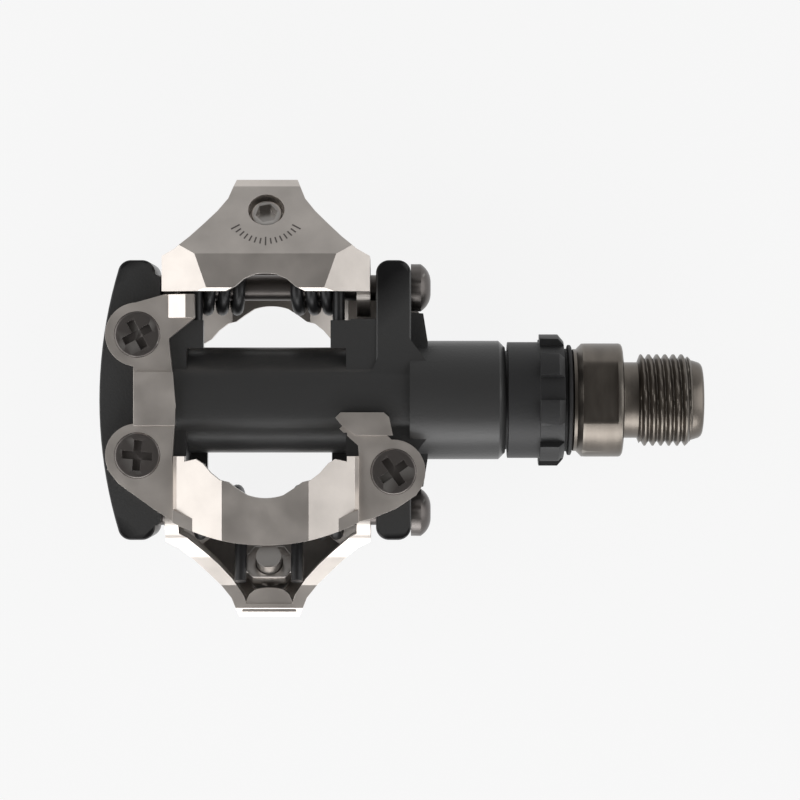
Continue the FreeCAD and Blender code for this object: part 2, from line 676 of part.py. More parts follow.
def tension_nut(tag, over):
    """Cross bar on the screw, reaching over both springs' inner legs."""
    body = new_body("tension_nut_%s_b" % tag)
    half = size("adj_nut_half")
    pad(body, "nut_bar_" + tag, "XY_Plane", -7.0, 2.4, [[
        (-half, -1.3), (-3.3, -1.6), (-2.4, -2.9), (2.4, -2.9), (3.3, -1.6), (half, -1.3),
        (half, 1.5), (3.3, 1.6), (2.6, 2.5), (-2.6, 2.5), (-3.3, 1.6), (-half, 1.5)]])
    cut(body, "nut_bore_" + tag, "XY_Plane", -8.0, 5.0, [(0, 0, ADJUSTER_R + 0.03)],
        forward=True)
    body.Placement = adjuster_place(0, over)
    node("tension_nut_" + tag, body)


for tag, over in FACES:
    tension_screw(tag, over)
    tension_nut(tag, over)

# ---------------------------------------------------------------- torsion springs
INNER_LEG_X = SIZES["clip_x"] - 4.4
OUTER_LEG_X = SIZES["clip_x"] - 11.0
INNER_LEG_DIP = math.radians(17.3)
INNER_LEG_END_Y = 28.3
OUTER_LEG_LENGTH = 7.5
FULL_TURNS = 3
COIL_STEPS = 60
PITCH_EASE = 0.06  # share of the coil over which the pitch builds up and dies away


def coil_advance(share):
    """Share of the coil's width covered after a share of its winding."""
    ease = PITCH_EASE
    if share < ease:
        covered = share * share / (2 * ease)
    elif share > 1 - ease:
        covered = (1 - ease) - (1 - share) ** 2 / (2 * ease)
    else:
        covered = share - ease / 2
    return covered / (1 - ease)


def spring_path():
    """Points along the outboard spring's wire, from the inner leg's end."""
    radius, pin_y = SIZES["coil_r"], SIZES["pin_y"]
    start = math.pi / 2 - INNER_LEG_DIP
    winding = 2 * math.pi * FULL_TURNS + INNER_LEG_DIP
    end = start + winding

    def on_coil(x, angle, beyond=0.0):
        """Point on the coil at angle, moved beyond along the tangent there."""
        return Vector(x, pin_y + radius * math.cos(angle) - math.sin(angle) * beyond,
                      radius * math.sin(angle) + math.cos(angle) * beyond)

    inner_leg = ((INNER_LEG_END_Y - pin_y - radius * math.cos(start))
                 / math.cos(INNER_LEG_DIP))
    points = [on_coil(INNER_LEG_X, start, -inner_leg * (1 - k / 6.0)) for k in range(6)]
    for k in range(COIL_STEPS + 1):
        share = k / float(COIL_STEPS)
        x = INNER_LEG_X + (OUTER_LEG_X - INNER_LEG_X) * coil_advance(share)
        points.append(on_coil(x, start + winding * share))
    points += [on_coil(OUTER_LEG_X, end, OUTER_LEG_LENGTH * k / 5.0) for k in range(1, 6)]
    return points


def spring(side, tag, over):
    """Inner leg lies under the tension nut, outer leg runs back under the wall's ledge."""
    points = spring_path()
    path = Part.BSplineCurve()
    path.interpolate(points)
    sweep = Part.BRepOffsetAPI.MakePipeShell(Part.Wire([path.toShape()]))
    sweep.setBiNormalMode(Vector(1, 0, 0))
    # twelve-sided wire section
    across = Vector(1, 0, 0)
    upright = path.tangent(path.FirstParameter)[0].cross(across)
    wire_r = SIZES["wire_r"]
    ring = [points[0] + across * (wire_r * math.cos(math.pi * k / 6))
            + upright * (wire_r * math.sin(math.pi * k / 6)) for k in range(12)]
    sweep.add(Part.makePolygon(ring + [ring[0]]))
    sweep.build()
    sweep.makeSolid()
    shape = sweep.shape()
    if side == "inboard":
        shape = shape.mirror(Vector(SIZES["clip_x"], 0, 0), Vector(1, 0, 0))
    name = "spring_%s_%s" % (side, tag)
    feature = doc.addObject("Part::Feature", name + "_f")
    feature.Shape = shape
    node(name, feature, over)


for tag, over in FACES:
    for side in ("outboard", "inboard"):
        spring(side, tag, over)


# ---------------------------------------------------------------- pivot pins
def pivot_pin(tag, over):
    """Pin with a domed head against the inboard frame."""
    body = new_body("pivot_pin_%s_b" % tag)
    head_x, head_r = IN_FRAME_IN, 3.7
    turn(body, "pin_" + tag, [
        (PIN_TIP_X, 0), (PIN_TIP_X, PIN_R - 0.4), (PIN_TIP_X + 0.4, PIN_R), (head_x, PIN_R),
        (head_x, head_r), (head_x + 1.5, head_r, head_x + 2.6, 2.6), (head_x + 2.95, 0)])
    y = -PIN_Y if over else PIN_Y
    body.Placement = Placement(Vector(0, y.value, 0), Rotation())
    y.bind(body, "Placement.Base.y")
    node("pivot_pin_" + tag, body)


for tag, over in FACES:
    pivot_pin(tag, over)

# ---------------------------------------------------------------- spindle
JOURNAL_R, STUB_R = size("journal_r"), size("stub_r")
THREAD_RIDGES = 6


def spindle_outline():
    shaft_r, shoulder_r = size("shaft_r"), size("shoulder_r")
    neck_r, neck_x = size("neck_r"), size("neck_len")
    thread_r, root_r, pitch = size("thread_r"), size("thread_root_r"), size("thread_pitch")
    tip_x = size("tip_x")
    seal_seat_r = JOURNAL_R + 0.6
    outline = [
        (-72.9, 0), (-72.9, STUB_R - 0.4), (-72.5, STUB_R), (-64.0, STUB_R),
        (-64.0, shaft_r), (-32.66, shaft_r), (-30.76, JOURNAL_R), (-9.3, JOURNAL_R),
        (-9.3, seal_seat_r), (-7.7, seal_seat_r), (-7.7, 7.95), (-7.1, 7.95),
        (-6.2, shoulder_r), (-0.5, shoulder_r), (0, shoulder_r - 0.5), (0, neck_r),
        (neck_x, neck_r), (neck_x + 0.25, thread_r - 0.35)]
    # the thread is drawn as separate ridges, one per pitch
    for k in range(THREAD_RIDGES):
        x = neck_x + 0.45 + pitch * k
        outline += [(x, thread_r), (x + pitch * 0.28, thread_r),
                    (x + pitch * 0.60, root_r), (x + pitch * 0.68, root_r)]
    x = neck_x + 0.45 + pitch * THREAD_RIDGES
    outline += [(x, thread_r), (x + 0.12, thread_r), (x + 0.45, 6.24), (tip_x - 1.3, 6.1),
                (tip_x - 0.5, 5.75), (tip_x, 4.9), (tip_x, 0)]
    return outline


def spindle():
    body = new_body("spindle_b")
    turn(body, "spindle_turned", spindle_outline())
    flat = size("wrench_af") / 2
    outside = 11
    cut(body, "wrench_flats", "YZ_Plane", -6.35, 5.45, [
        [(-outside, flat), (outside, flat), (outside, outside), (-outside, outside)],
        [(-outside, -flat), (-outside, -outside), (outside, -outside), (outside, -flat)]],
        forward=True)
    # 6 mm hex socket in the crank end
    cut(body, "hex_socket", "YZ_Plane", size("tip_x") - 6.0, 10.0, [hexagon(6.0)],
        forward=True)
    body.Placement = Placement(Vector(0, 0, 0),
                               Rotation(Vector(-1, 0, 0), SIZES["wrench_turn"]))
    body.setExpression("Placement.Rotation.Angle", "Sizes.wrench_turn")
    node("spindle", body)


spindle()

# ---------------------------------------------------------------- lock sleeve
SLEEVE_BORE_R = size("sleeve_bore_r")
SLEEVE_END_X = -28.6  # outboard end of the sleeve and of the bush in it
FLANGE_X1 = size("flange_x1")
SPLINE_SLOTS = 8
SLOT_FLOOR_R, SLOT_OUTSIDE_R = 9.1, 12.0


def spline_slot(index):
    """Slot outline (y, z); it fills the second half of its share of the turn."""
    def point(radius, angle):
        # measured from +Z towards -Y
        return (-radius * math.sin(angle), radius * math.cos(angle))

    share = 360 / SPLINE_SLOTS
    start = math.radians(share * index + share / 2)
    end = math.radians(share * index + share)
    return [point(SLOT_FLOOR_R, start), point(SLOT_OUTSIDE_R, start),
            point(SLOT_OUTSIDE_R, end),
            point(SLOT_FLOOR_R, end) + point(SLOT_FLOOR_R, (start + end) / 2)]


def lock_sleeve():
    """Threaded into the collar, with a splined flange outside it."""
    body = new_body("lock_sleeve_b")
    thread_r, sleeve_r, flange_r = size("sleeve_thread_r"), size("sleeve_r"), size("flange_r")
    sleeve_x0, flange_x0 = size("sleeve_x0"), size("flange_x0")
    turn(body, "sleeve_turned", [
        (SLEEVE_END_X, SLEEVE_BORE_R), (SLEEVE_END_X, thread_r - 0.4), (-28.2, thread_r),
        (sleeve_x0, thread_r), (sleeve_x0, sleeve_r), (flange_x0, sleeve_r),
        (flange_x0, flange_r), (FLANGE_X1 - 0.9, flange_r), (FLANGE_X1, flange_r - 1.05),
        (FLANGE_X1, SLEEVE_BORE_R)])
    cut(body, "spline_slots", "YZ_Plane", flange_x0 - 0.05, 6.0,
        [spline_slot(k) for k in range(SPLINE_SLOTS)], forward=True)
    node("lock_sleeve", body)


lock_sleeve()

# ---------------------------------------------------------------- seal, bush, bearing tube
# rubber seal between flange and spindle shoulder
turned_piece("dust_seal", "seal_turned", [
    (-11.5, 6.22), (-11.5, SLEEVE_BORE_R), (FLANGE_X1, SLEEVE_BORE_R), (FLANGE_X1, 8.0),
    (-8.6, 8.0), (-8.45, 8.6), (-8.0, 8.6), (-7.86, 8.3), (-7.86, 6.22)])

# plain bush carried in the sleeve
BUSH_R = JOURNAL_R + size("bush_clear")
turned_piece("axle_bush", "bush_turned", [
    (SLEEVE_END_X, BUSH_R), (SLEEVE_END_X, SLEEVE_BORE_R), (-14.0, SLEEVE_BORE_R),
    (-14.0, BUSH_R)])

# tube with a ball cup at each end
TUBE_R, RACE_R, TUBE_IN_R = size("tube_bore_r"), size("tube_race_r"), size("tube_in_r")
turned_piece("bearing_tube", "tube_turned", [
    (-66.4, RACE_R), (-66.4, TUBE_R), (-30.6, TUBE_R), (-30.6, RACE_R),
    (-33.44, RACE_R), (-34.26, TUBE_IN_R), (-62.74, TUBE_IN_R), (-63.56, RACE_R)])

# ---------------------------------------------------------------- ball sets
BALL_COUNT = 12
FIRST_BALL_ANGLE = 7


def ball_set(name, x):
    balls = []
    for k in range(BALL_COUNT):
        ball = doc.addObject("Part::Sphere", "%s_ball%s" % (name, k or ""))
        ball.setExpression("Radius", "Sizes.ball_r")
        angle = math.radians(360 / BALL_COUNT * k + FIRST_BALL_ANGLE)
        cosine, sine = math.cos(angle), math.sin(angle)
        ring_r = SIZES["ball_ring_r"]
        ball.Placement = Placement(Vector(SIZES[x], ring_r * cosine, ring_r * sine),
                                   Rotation())
        ball.setExpression("Placement.Base.x", "Sizes." + x)
        ball.setExpression("Placement.Base.y", "Sizes.ball_ring_r * %.9f" % cosine)
        ball.setExpression("Placement.Base.z", "Sizes.ball_ring_r * %.9f" % sine)
        balls.append(ball)
    node(name, compound(name + "_c", balls))


ball_set("inner_balls", "ball_in_x")
ball_set("outer_balls", "ball_out_x")

# ---------------------------------------------------------------- nuts on the outboard stub
WASHER_X0, WASHER_X1 = -69.2, -68.4
turned_piece("cone_nut", "cone_turned", [
    (WASHER_X1, STUB_R), (WASHER_X1, 5.1), (-68.1, 5.4), (-66.2, 5.4), (-64.35, 3.55),
    (-64.2, 3.3), (-64.2, STUB_R)])
turned_piece("keyed_washer", "washer_turned", [
    (WASHER_X0, STUB_R), (WASHER_X0, 4.7), (WASHER_X1, 4.7), (WASHER_X1, STUB_R)])


def lock_nut():
    body = new_body("lock_nut_b")
    pad(body, "lock_nut_hex", "YZ_Plane", -71.9, 2.7, [hexagon(9.0), (0, 0, STUB_R)])
    node("lock_nut", body)


lock_nut()

# ---------------------------------------------------------------- soundness and export
doc.recompute()
unsound = [o.Name + str(o.State) for o in doc.Objects
           if "Invalid" in o.State or "Error" in o.State]
unsound += [name + " shape" for name, o in NODES.items()
            if o.Shape.isNull() or not o.Shape.isValid()]
if unsound:
    raise ValueError("not sound: " + ", ".join(unsound))
for name, piece in NODES.items():
    piece.Shape.exportStep("parts/%s.step" % name)
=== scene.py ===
# A double-sided clipless bicycle pedal. The spindle lies on the X axis with its threaded end
# towards +X. The mechanism on the top (+Z) face has its sprung claw on the +Y side; the bottom
# one is the same turned half a turn about X. Shapes are in mm, scaled by MM into metres;
# the floor, lights and camera are in metres.
import math

import bmesh
import bpy
from mathutils import Vector
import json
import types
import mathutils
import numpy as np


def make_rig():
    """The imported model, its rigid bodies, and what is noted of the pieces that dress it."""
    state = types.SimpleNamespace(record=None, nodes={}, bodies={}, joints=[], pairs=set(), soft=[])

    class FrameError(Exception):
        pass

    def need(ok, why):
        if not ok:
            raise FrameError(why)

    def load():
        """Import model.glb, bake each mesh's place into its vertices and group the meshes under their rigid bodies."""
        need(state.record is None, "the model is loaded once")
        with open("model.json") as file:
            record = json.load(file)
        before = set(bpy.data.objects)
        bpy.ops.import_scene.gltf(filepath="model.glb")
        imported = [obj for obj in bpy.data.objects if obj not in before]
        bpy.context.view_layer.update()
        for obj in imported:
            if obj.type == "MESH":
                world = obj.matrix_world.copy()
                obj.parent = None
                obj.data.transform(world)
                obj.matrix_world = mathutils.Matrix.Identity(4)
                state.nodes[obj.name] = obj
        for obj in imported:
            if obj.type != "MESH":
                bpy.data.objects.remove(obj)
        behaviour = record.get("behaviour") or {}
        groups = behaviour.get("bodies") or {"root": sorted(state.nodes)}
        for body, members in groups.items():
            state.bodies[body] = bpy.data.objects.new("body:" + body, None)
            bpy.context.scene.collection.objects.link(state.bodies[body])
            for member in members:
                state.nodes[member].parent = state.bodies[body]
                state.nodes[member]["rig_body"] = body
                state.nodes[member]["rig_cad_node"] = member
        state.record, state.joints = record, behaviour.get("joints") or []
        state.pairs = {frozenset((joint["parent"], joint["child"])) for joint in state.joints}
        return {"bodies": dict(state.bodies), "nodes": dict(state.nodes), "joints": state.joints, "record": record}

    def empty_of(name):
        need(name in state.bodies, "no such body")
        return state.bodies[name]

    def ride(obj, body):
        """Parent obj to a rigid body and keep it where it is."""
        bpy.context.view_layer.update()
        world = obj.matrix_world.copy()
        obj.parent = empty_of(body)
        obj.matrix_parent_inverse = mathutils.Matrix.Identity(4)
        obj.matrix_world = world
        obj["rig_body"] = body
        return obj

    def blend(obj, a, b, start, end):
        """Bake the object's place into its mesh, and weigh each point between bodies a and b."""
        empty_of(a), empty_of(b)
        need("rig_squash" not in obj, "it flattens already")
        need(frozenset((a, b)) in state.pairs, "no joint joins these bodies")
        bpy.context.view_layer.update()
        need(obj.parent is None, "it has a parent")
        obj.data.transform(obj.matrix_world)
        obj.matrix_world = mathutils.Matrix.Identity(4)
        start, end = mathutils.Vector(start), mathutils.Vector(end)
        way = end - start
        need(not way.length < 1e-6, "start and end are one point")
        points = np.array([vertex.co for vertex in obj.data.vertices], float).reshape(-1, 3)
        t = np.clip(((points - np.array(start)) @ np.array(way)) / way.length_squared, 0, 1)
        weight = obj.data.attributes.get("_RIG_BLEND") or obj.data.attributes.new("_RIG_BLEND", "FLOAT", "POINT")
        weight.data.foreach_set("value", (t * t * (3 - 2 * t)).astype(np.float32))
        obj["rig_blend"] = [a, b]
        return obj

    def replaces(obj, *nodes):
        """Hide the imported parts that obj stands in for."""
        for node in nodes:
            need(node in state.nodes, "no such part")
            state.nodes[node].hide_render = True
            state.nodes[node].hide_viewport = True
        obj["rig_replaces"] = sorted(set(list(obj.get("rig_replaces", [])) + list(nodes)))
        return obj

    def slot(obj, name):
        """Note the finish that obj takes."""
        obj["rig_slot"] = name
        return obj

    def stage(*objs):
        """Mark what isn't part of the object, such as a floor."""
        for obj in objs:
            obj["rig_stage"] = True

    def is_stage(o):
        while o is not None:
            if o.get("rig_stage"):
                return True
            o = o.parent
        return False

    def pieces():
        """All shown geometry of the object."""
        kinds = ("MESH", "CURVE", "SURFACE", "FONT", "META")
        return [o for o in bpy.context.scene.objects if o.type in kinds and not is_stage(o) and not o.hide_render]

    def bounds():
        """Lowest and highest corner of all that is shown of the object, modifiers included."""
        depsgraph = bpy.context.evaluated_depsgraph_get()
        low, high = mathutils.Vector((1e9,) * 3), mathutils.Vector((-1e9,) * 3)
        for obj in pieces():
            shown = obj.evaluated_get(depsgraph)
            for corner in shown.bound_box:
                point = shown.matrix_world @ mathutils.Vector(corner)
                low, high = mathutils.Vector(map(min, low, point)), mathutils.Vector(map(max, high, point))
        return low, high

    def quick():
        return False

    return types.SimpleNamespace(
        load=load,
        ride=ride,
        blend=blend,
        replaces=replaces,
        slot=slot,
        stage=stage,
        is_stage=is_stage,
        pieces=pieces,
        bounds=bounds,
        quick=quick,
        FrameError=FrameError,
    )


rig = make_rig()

MM = 0.001
CLAW_X = -55.0  # middle of the claws along the spindle
FACES = (("top", 1), ("bottom", -1))  # name, sign of Y and Z


def write_size(mode):
    low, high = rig.bounds()[:2]
    with open("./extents.json", mode) as f:
        f.write("[%s, %s]\n" % ([float(v) for v in low], [float(v) for v in high]))


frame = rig.load()
write_size("w")


# ------------------------------------------------------------------ materials
VARY_SCALE = 180.0  # noise scale of the colour and roughness variation


def material(name, base, metallic, rough, bump=0.0, bump_scale=900.0, vary=0.0,
             rough_vary=0.0, stretch=None, painted_edge_highlight=None):
    """Procedural material; vary is a fraction of base, and the edge colour is a painted highlight laid on convex
    edges.
    """
    mat = bpy.data.materials.new(name)
    mat.use_nodes = True
    nodes, link = mat.node_tree.nodes, mat.node_tree.links.new
    surface = nodes["Principled BSDF"].inputs
    surface["Base Color"].default_value = (*base, 1)
    surface["Metallic"].default_value = metallic
    surface["Roughness"].default_value = rough
    surface["Coat Roughness"].default_value = 0.25
    surface["Specular IOR Level"].default_value = 0.5 if metallic else 0.32

    if bump or vary:
        coord = nodes.new("ShaderNodeTexCoord")
        mapping = nodes.new("ShaderNodeMapping")
        if stretch:
            mapping.inputs["Scale"].default_value = stretch
        link(coord.outputs["Object"], mapping.inputs["Vector"])

    def noise(scale, detail):
        node = nodes.new("ShaderNodeTexNoise")
        node.inputs["Scale"].default_value = scale
        node.inputs["Detail"].default_value = detail
        link(mapping.outputs["Vector"], node.inputs["Vector"])
        return node.outputs["Fac"]

    if bump:
        height = noise(scale=bump_scale, detail=3)
        bumps = nodes.new("ShaderNodeBump")
        bumps.inputs["Strength"].default_value = bump
        bumps.inputs["Distance"].default_value = 0.00012
        link(height, bumps.inputs["Height"])
        link(bumps.outputs["Normal"], surface["Normal"])

    colour = None
    if vary:
        blotches = noise(scale=VARY_SCALE, detail=4)
        ramp = nodes.new("ShaderNodeValToRGB")
        dark, light = ramp.color_ramp.elements
        dark.position = 0.3
        light.position = 0.7
        dark.color = (*[c * (1 - vary) for c in base], 1)
        light.color = (*[c * (1 + vary) for c in base], 1)
        link(blotches, ramp.inputs["Fac"])
        colour = ramp.outputs["Color"]
        if rough_vary:
            spread = nodes.new("ShaderNodeMapRange")
            spread.inputs["To Min"].default_value = rough - rough_vary
            spread.inputs["To Max"].default_value = rough + rough_vary
            link(blotches, spread.inputs["Value"])
            link(spread.outputs["Result"], surface["Roughness"])

    if painted_edge_highlight:
        # painted highlight: convex edges, found from the surface's own pointiness, are lightened towards the edge
        # colour
        geometry = nodes.new("ShaderNodeNewGeometry")
        edge = nodes.new("ShaderNodeMapRange")
        edge.inputs["From Min"].default_value = 0.53
        edge.inputs["From Max"].default_value = 0.62
        link(geometry.outputs["Pointiness"], edge.inputs["Value"])
        mix = nodes.new("ShaderNodeMix")
        mix.data_type = "RGBA"
        mix.inputs["A"].default_value = (*base, 1)
        mix.inputs["B"].default_value = (*painted_edge_highlight, 1)
        if colour:
            link(colour, mix.inputs["A"])
        link(edge.outputs["Result"], mix.inputs["Factor"])
        colour = mix.outputs["Result"]

    if colour:
        link(colour, surface["Base Color"])
    return mat


# the edge colours given below are painted highlights that lighten convex edges
MATERIAL_LOOKS = {
    "body_black": dict(base=(0.0040, 0.0040, 0.0044), metallic=0.0, rough=0.32, bump=0.25,
                       bump_scale=2600, vary=0.15, rough_vary=0.05, painted_edge_highlight=(0.03, 0.03, 0.03)),
    "claw_steel": dict(base=(0.56, 0.52, 0.485), metallic=1.0, rough=0.38, bump=0.10,
                       bump_scale=700, vary=0.10, rough_vary=0.06),
    "screw_black": dict(base=(0.11, 0.10, 0.095), metallic=0.9, rough=0.36, bump=0.1,
                        bump_scale=1500, painted_edge_highlight=(0.22, 0.21, 0.2)),
    "adjuster_steel": dict(base=(0.44, 0.42, 0.40), metallic=1.0, rough=0.30, bump=0.08,
                           vary=0.12),
    "spring_black": dict(base=(0.014, 0.014, 0.015), metallic=0.3, rough=0.38),
    "spindle_steel": dict(base=(0.135, 0.12, 0.105), metallic=1.0, rough=0.34, bump=0.12,
                          bump_scale=900, vary=0.15, rough_vary=0.05,
                          stretch=(3.0, 1.0, 1.0), painted_edge_highlight=(0.3, 0.28, 0.25)),
    "sleeve_plastic": dict(base=(0.015, 0.015, 0.0155), metallic=0.0, rough=0.48, bump=0.25,
                           bump_scale=2200),
    "seal_rubber": dict(base=(0.012, 0.012, 0.012), metallic=0.0, rough=0.62, bump=0.2,
                        bump_scale=1800),
    "bush_plastic": dict(base=(0.62, 0.60, 0.54), metallic=0.0, rough=0.5),
    "bearing_steel": dict(base=(0.62, 0.62, 0.62), metallic=1.0, rough=0.18),
}
MATERIALS = {name: material(name, **look) for name, look in MATERIAL_LOOKS.items()}


# ------------------------------------------------------------------ CAD pieces
DEFAULT_BEVEL = 0.1
BEVEL_WIDTHS = {
    "pedal_body": 0.35,
    "front_claw_plate_top": 0.28, "front_claw_plate_bottom": 0.28,
    "rear_claw_top": 0.30, "rear_claw_bottom": 0.30,
    "tension_screw_top": 0.08, "tension_screw_bottom": 0.08,
    "tension_nut_top": 0.2, "tension_nut_bottom": 0.2,
    "lock_sleeve": 0.22, "dust_seal": 0.12, "lock_nut": 0.2,
}


def dress(name, obj, slot):
    """Give a CAD piece its material and softened edges; the claws stay flat-shaded."""
    obj.data.materials.clear()
    obj.data.materials.append(MATERIALS[slot])
    flat = name.startswith(("rear_claw", "front_claw"))
    for polygon in obj.data.polygons:
        polygon.use_smooth = not flat
    if flat and "custom_normal" in obj.data.attributes:
        obj.data.attributes.remove(obj.data.attributes["custom_normal"])

    weld = obj.modifiers.new("weld", "WELD")
    weld.merge_threshold = 0.000002
    if flat:
        # joins coplanar facets so that the bevel meets whole flats
        flats = obj.modifiers.new("flats", "DECIMATE")
        flats.decimate_type = "DISSOLVE"
        flats.angle_limit = math.radians(1.0)
    bevel = obj.modifiers.new("bevel", "BEVEL")
    bevel.width = BEVEL_WIDTHS.get(name, DEFAULT_BEVEL) * MM
    bevel.segments = 3
    bevel.limit_method = "ANGLE"
    bevel.angle_limit = math.radians(13 if flat else 32)
    bevel.use_clamp_overlap = True
    bevel.harden_normals = not flat
    bevel.miter_outer = "MITER_ARC"
    if not flat:
        normals = obj.modifiers.new("wn", "WEIGHTED_NORMAL")
        normals.keep_sharp = True


slots = {part["node"]: part["material_slot"] for part in frame["record"]["subparts"]}
for name, obj in frame["nodes"].items():
    dress(name, obj, slots[name])


# ------------------------------------------------------------------ mesh helpers
def finish_mesh(name, bm, mat, sharp_angle):
    """Make an object of bm, smooth but for edges sharper than sharp_angle degrees."""
    bmesh.ops.recalc_face_normals(bm, faces=bm.faces)
    bm.normal_update()
    for edge in bm.edges:
        if len(edge.link_faces) == 2 and edge.calc_face_angle(0) > math.radians(sharp_angle):
            edge.smooth = False
    for face in bm.faces:
        face.smooth = True
    mesh = bpy.data.meshes.new(name)
    bm.to_mesh(mesh)
    bm.free()
    obj = bpy.data.objects.new(name, mesh)
    bpy.context.scene.collection.objects.link(obj)
    mesh.materials.append(mat)
    return obj


def loft(name, rings, mat, sharp_angle, flip_end=False):
    """Skin rings of points (metres) and cap both ends; flip_end reverses the last cap."""
    bm = bmesh.new()
    rows = [[bm.verts.new(point) for point in ring] for ring in rings]
    for row, following in zip(rows, rows[1:]):
        for k in range(len(row)):
            j = (k + 1) % len(row)
            bm.faces.new((row[k], row[j], following[j], following[k]))
    bm.faces.new(rows[0])
    bm.faces.new(rows[-1][::-1] if flip_end else rows[-1])
    return finish_mesh(name, bm, mat, sharp_angle)


# ------------------------------------------------------------------ spindle with helical thread
SPINDLE_SEGMENTS = 144
# Stations along the spindle: x, radius
SHAFT = [
    (-72.9, 2.5), (-72.5, 2.98), (-64.0, 2.98), (-64.0, 3.6), (-32.66, 3.6), (-30.76, 5.5),
    (-9.3, 5.5), (-9.3, 6.1), (-7.72, 6.1), (-7.7, 7.80), (-7.58, 7.95), (-7.12, 7.95),
    (-6.45, 8.62), (-6.36, 8.72), (-6.30, 8.78),
]
COLLAR_WITH_FLATS = [(-6.29, 8.80), (-5.6, 8.83), (-0.92, 8.83)]
THREAD_START, RELIEF_R = 2.4, 5.9
COLLAR_END = [
    (-0.90, 8.83), (-0.5, 8.83), (-0.2, 8.72), (0.0, 8.40), (0.0, 6.2), (0.15, 5.95),
    (0.3, RELIEF_R), (THREAD_START, RELIEF_R),
]
TIP = [(10.72, 6.24), (11.2, 6.12), (12.0, 5.86), (12.3, 5.62), (12.48, 5.3), (12.55, 4.9)]
# Hexagonal socket: x, half width across flats, radius added all round
SOCKET = [(12.55, 3.12, 0.25), (12.35, 3.0, 0.0), (6.6, 3.0, 0.0)]
SOCKET_BOTTOM = (6.2, 1.0)

FLATS_HALF_WIDTH = 7.5
FLATS_TURN = math.radians(-9.0)

THREAD_END = 10.62
THREAD_PHASE_X = 2.85  # where a crest begins at angle 0
PITCH, CREST_R, ROOT_R = 1.27, 7.144, 6.46
CREST_END, ROOT_START, ROOT_END = 0.20, 0.54, 0.66  # fractions of the pitch
FLANK = ROOT_START - CREST_END
LEAD_IN, LEAD_IN_RISE = 0.5, 1.3
RUN_OUT_X, RUN_OUT_SLOPE = 9.9, 0.95


def ring(x, radius_at):
    """Points about the X axis, in metres; radius_at gives the radius in mm at an angle."""
    points = []
    for k in range(SPINDLE_SEGMENTS):
        angle = 2 * math.pi * k / SPINDLE_SEGMENTS
        r = radius_at(angle)
        points.append((x * MM, r * math.cos(angle) * MM, r * math.sin(angle) * MM))
    return points


def round_rings(stations):
    return [ring(x, lambda angle: r) for x, r in stations]


def flats_radius(angle, r):
    """A circle cut by two parallel flats."""
    across = abs(math.sin(angle - FLATS_TURN))
    return min(r, FLATS_HALF_WIDTH / max(across, 1e-6))


def hex_radius(angle, half_width):
    return half_width / math.cos(angle % (math.pi / 3) - math.pi / 6)


def thread_radius(x, angle):
    """Right-hand thread with flat crest and root, tapered in and out at its ends."""
    turn = ((x - THREAD_PHASE_X - PITCH * angle / (2 * math.pi)) / PITCH) % 1.0
    depth = CREST_R - ROOT_R
    if turn < CREST_END:
        r = CREST_R
    elif turn < ROOT_START:
        r = CREST_R - depth * (turn - CREST_END) / FLANK
    elif turn < ROOT_END:
        r = ROOT_R
    else:
        r = ROOT_R + depth * (turn - ROOT_END) / FLANK
    if x < THREAD_START + LEAD_IN:
        r = min(r, RELIEF_R + (x - THREAD_START) / LEAD_IN * LEAD_IN_RISE)
    if x > RUN_OUT_X:
        r = min(r, CREST_R - (x - RUN_OUT_X) * RUN_OUT_SLOPE)
    return r


def build_spindle():
    rings = round_rings(SHAFT)
    rings += [ring(x, lambda angle: flats_radius(angle, r)) for x, r in COLLAR_WITH_FLATS]
    rings += round_rings(COLLAR_END)
    steps = 60 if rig.quick() else 96
    for k in range(1, steps + 1):
        x = THREAD_START + (THREAD_END - THREAD_START) * k / steps
        rings.append(ring(x, lambda angle: thread_radius(x, angle)))
    rings += round_rings(TIP)
    rings += [ring(x, lambda angle: hex_radius(angle, half) + extra)
              for x, half, extra in SOCKET]
    rings += round_rings([SOCKET_BOTTOM])
    spindle = loft("spindle_threaded", rings, MATERIALS["spindle_steel"], sharp_angle=35,
                   flip_end=True)
    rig.ride(spindle, "spindle_group")
    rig.replaces(spindle, "spindle")
    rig.slot(spindle, "spindle_steel")


build_spindle()


# ------------------------------------------------------------------ torsion springs
COIL_R = 3.4
COIL_Y = 17.5
COIL_TURNS = 3
COIL_INNER, COIL_OUTER = 4.4, 11.0  # distances of the coil's ends from CLAW_X
COIL_STEPS = 110
COIL_EASE = 0.06  # fraction of the coil over which its pitch eases in and out
LEG_DIP = math.radians(17.3)
LEG_END_Y = 28.3
LEG_STEPS = 14
TAIL_LENGTH = 7.5
TAIL_STEPS = 7
SPLIT_Y = 20.2  # the inner leg becomes its own piece from here outwards
COIL_BLEND_END_Y, LEG_BLEND_END_Y = 20.5, 25.0
WIRE_R, LEG_WIRE_R = 0.95, 0.948
WIRE_SEGMENTS = 14


def tube(name, path, radius):
    rings = []
    for i, centre in enumerate(path):
        tangent = (path[min(i + 1, len(path) - 1)] - path[max(i - 1, 0)]).normalized()
        reference = Vector((1, 0, 0))
        u = (reference - tangent * reference.dot(tangent)).normalized()
        v = tangent.cross(u)
        angles = [2 * math.pi * k / WIRE_SEGMENTS for k in range(WIRE_SEGMENTS)]
        rings.append([(centre + (u * math.cos(a) + v * math.sin(a)) * radius) * MM
                      for a in angles])
    return loft(name, rings, MATERIALS["spring_black"], sharp_angle=50)


def eased(f):
    """Fraction of the coil's width reached at fraction f of its sweep."""
    if f < COIL_EASE:
        g = f * f / (2 * COIL_EASE)
    elif f > 1 - COIL_EASE:
        g = (1 - COIL_EASE) - (1 - f) ** 2 / (2 * COIL_EASE)
    else:
        g = f - COIL_EASE / 2
    return g / (1 - COIL_EASE)


